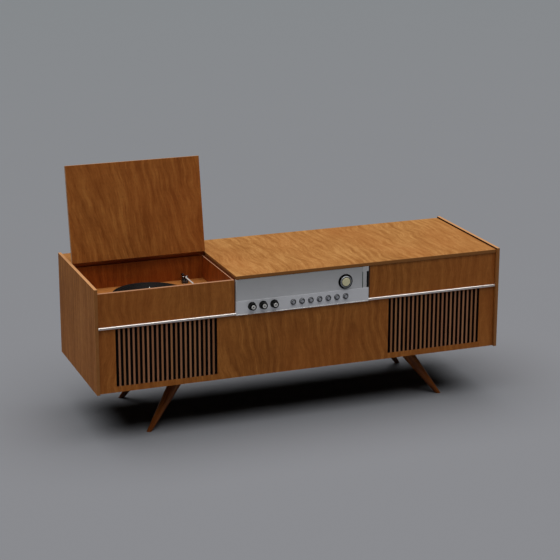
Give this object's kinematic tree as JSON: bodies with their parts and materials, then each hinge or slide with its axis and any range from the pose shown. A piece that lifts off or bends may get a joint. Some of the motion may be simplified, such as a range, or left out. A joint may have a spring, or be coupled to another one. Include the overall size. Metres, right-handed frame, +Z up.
{
  "type": "radio phonograph console",
  "caption": "Long low wooden console on splayed legs with a lidded turntable well, a central radio fascia with knobs, push buttons and dial, and slotted loudspeaker grilles.",
  "frame": {"origin": "on the floor, under the centre of the whole console's box", "axes": "+X to the right along the console's length as seen from the front, -Y out of the front, +Z up"},
  "size_m": [1.62, 0.547, 0.9538],
  "materials": {
    "veneer": "satin-lacquered flame-figured veneer, upright grain",
    "veneer_top": "satin-lacquered flame-figured veneer, grain front to back",
    "veneer_lid": "satin-lacquered flame-figured veneer",
    "veneer_inside": "stained veneer inside the turntable well",
    "plain_board": "unfinished board",
    "hardboard": "pressed fibre board, rough",
    "leg_wood": "turned and lacquered hardwood",
    "bright_rail": "satin anodised strip",
    "fascia_metal": "fine brushed, clear lacquered",
    "dial_grey": "satin grey with faint scale lines",
    "pointer_red": "dark needle",
    "knob_black": "black moulded skirt with bright cap",
    "button_metal": "satin chromed cap",
    "black_plastic": "black moulded",
    "black_enamel": "gloss black enamel",
    "white_enamel": "gloss white enamel",
    "cast_aluminium": "turned casting",
    "polished_steel": "polished",
    "steel": "zinc plated",
    "pressed_steel": "plated pressing",
    "brass": "plain",
    "black_rubber": "ribbed black rubber",
    "black_cloth": "black open-weave loudspeaker cloth",
    "cone_paper": "pressed paper",
    "magnet_iron": "dull dark",
    "valve_glass": "clear glass"
  },
  "bodies": {
    "cabinet": {"arm_rest": "black_plastic", "back_panel": "hardboard", "back_screws": "steel", "bottom_panel": "plain_board", "deck_board": "veneer_inside", "dial_scale": "dial_grey", "grille_cloths": "black_cloth", "hinge_fixed_leaf": "brass", "hinge_pin": "brass", "left_side_panel": "veneer", "leg_front_left": "leg_wood", "leg_front_right": "leg_wood", "leg_plates": "pressed_steel", "leg_rear_left": "leg_wood", "leg_rear_right": "leg_wood", "lower_front_panel": "veneer", "mains_inlet": "black_plastic", "platter_bearing": "brass", "power_transformer": "magnet_iron", "radio_chassis": "pressed_steel", "radio_fascia": "fascia_metal", "radio_partition": "plain_board", "radio_shelf": "plain_board", "rear_top_rail": "veneer_top", "right_front_panel": "veneer", "right_side_panel": "veneer", "speaker_cones": "cone_paper", "speaker_frames": "pressed_steel", "speaker_magnets": "magnet_iron", "tonearm_base": "black_plastic", "top_panel": "veneer_top", "trim_rails": "bright_rail", "turntable_motor": "pressed_steel", "valve_set": "valve_glass", "well_front_panel": "veneer", "well_partition": "veneer_inside", "well_rear_board": "veneer_inside"},
    "lid": {"lid": "veneer_lid", "hinge_moving_leaf": "brass"},
    "platter": {"platter": "cast_aluminium", "platter_mat": "black_rubber", "platter_spindle": "polished_steel"},
    "idler": {"idler_wheel": "black_rubber"},
    "pulley": {"motor_pulley": "brass"},
    "yoke": {"tonearm_yoke": "black_enamel"},
    "tonearm": {"tonearm_tube": "white_enamel", "headshell": "black_plastic", "counterweight": "black_enamel"},
    "tuning": {"tuning_knob": "knob_black"},
    "pointer": {"dial_pointer": "pointer_red"},
    "volume": {"volume_knob": "knob_black"},
    "bass": {"bass_knob": "knob_black"},
    "treble": {"treble_knob": "knob_black"},
    "button_1": {"push_button_1": "button_metal"},
    "button_2": {"push_button_2": "button_metal"},
    "button_3": {"push_button_3": "button_metal"},
    "button_4": {"push_button_4": "button_metal"},
    "button_5": {"push_button_5": "button_metal"},
    "button_6": {"push_button_6": "button_metal"},
    "button_7": {"push_button_7": "button_metal"}
  },
  "joints": [
    {"name": "lid_hinge", "type": "hinge", "parent": "cabinet", "child": "lid", "pos_m": [-0.535, 0.1175, 0.587], "axis": [-1, 0, 0], "range_deg": [-100, 0]},
    {"name": "platter_spin", "type": "hinge", "parent": "cabinet", "child": "platter", "pos_m": [-0.548, -0.0655, 0.493], "axis": [0, 0, 1], "continuous": true},
    {"name": "idler_spin", "type": "hinge", "parent": "cabinet", "child": "idler", "pos_m": [-0.63271, 0.01921, 0.489], "axis": [0, 0, 1], "continuous": true},
    {"name": "pulley_spin", "type": "hinge", "parent": "cabinet", "child": "pulley", "pos_m": [-0.61051, 0.01921, 0.489], "axis": [0, 0, 1], "continuous": true},
    {"name": "tonearm_swing", "type": "hinge", "parent": "cabinet", "child": "yoke", "pos_m": [-0.366, 0.0715, 0.499], "axis": [0, 0, -1], "range_deg": [0, 40]},
    {"name": "tonearm_lift", "type": "hinge", "parent": "yoke", "child": "tonearm", "pos_m": [-0.366, 0.0715, 0.5075], "axis": [-1, 0, 0], "range_deg": [0, 10]},
    {"name": "tuning_turn", "type": "hinge", "parent": "cabinet", "child": "tuning", "pos_m": [0.164, -0.2505, 0.523], "axis": [0, 1, 0], "range_deg": [0, 2160]},
    {"name": "pointer_slide", "type": "slide", "parent": "cabinet", "child": "pointer", "axis": [1, 0, 0], "range_m": [0, 0.373]},
    {"name": "volume_turn", "type": "hinge", "parent": "cabinet", "child": "volume", "pos_m": [-0.211, -0.2605, 0.4673], "axis": [0, 1, 0], "range_deg": [0, 270]},
    {"name": "bass_turn", "type": "hinge", "parent": "cabinet", "child": "bass", "pos_m": [-0.167, -0.2605, 0.4673], "axis": [0, 1, 0], "range_deg": [-135, 135]},
    {"name": "treble_turn", "type": "hinge", "parent": "cabinet", "child": "treble", "pos_m": [-0.123, -0.2605, 0.4673], "axis": [0, 1, 0], "range_deg": [-135, 135]},
    {"name": "button_1_press", "type": "slide", "parent": "cabinet", "child": "button_1", "axis": [0, 1, 0], "range_m": [0, 0.005], "stiffness_N_per_m": 200, "springref_m": -0.005},
    {"name": "button_2_press", "type": "slide", "parent": "cabinet", "child": "button_2", "axis": [0, 1, 0], "range_m": [0, 0.005], "stiffness_N_per_m": 200, "springref_m": -0.005},
    {"name": "button_3_press", "type": "slide", "parent": "cabinet", "child": "button_3", "axis": [0, 1, 0], "range_m": [0, 0.005], "stiffness_N_per_m": 200, "springref_m": -0.005},
    {"name": "button_4_press", "type": "slide", "parent": "cabinet", "child": "button_4", "axis": [0, 1, 0], "range_m": [0, 0.005], "stiffness_N_per_m": 200, "springref_m": -0.005},
    {"name": "button_5_press", "type": "slide", "parent": "cabinet", "child": "button_5", "axis": [0, 1, 0], "range_m": [0, 0.005], "stiffness_N_per_m": 200, "springref_m": -0.005},
    {"name": "button_6_press", "type": "slide", "parent": "cabinet", "child": "button_6", "axis": [0, 1, 0], "range_m": [0, 0.005], "stiffness_N_per_m": 200, "springref_m": -0.005},
    {"name": "button_7_press", "type": "slide", "parent": "cabinet", "child": "button_7", "axis": [0, 1, 0], "range_m": [0, 0.005], "stiffness_N_per_m": 200, "springref_m": -0.005}
  ],
  "couplings": [
    {"joint": "idler_spin", "follows": "platter_spin", "ratio": 7.6667},
    {"joint": "pulley_spin", "follows": "platter_spin", "ratio": -34.5},
    {"joint": "pointer_slide", "follows": "tuning_turn", "m_per_rad": 0.0098676}
  ]
}
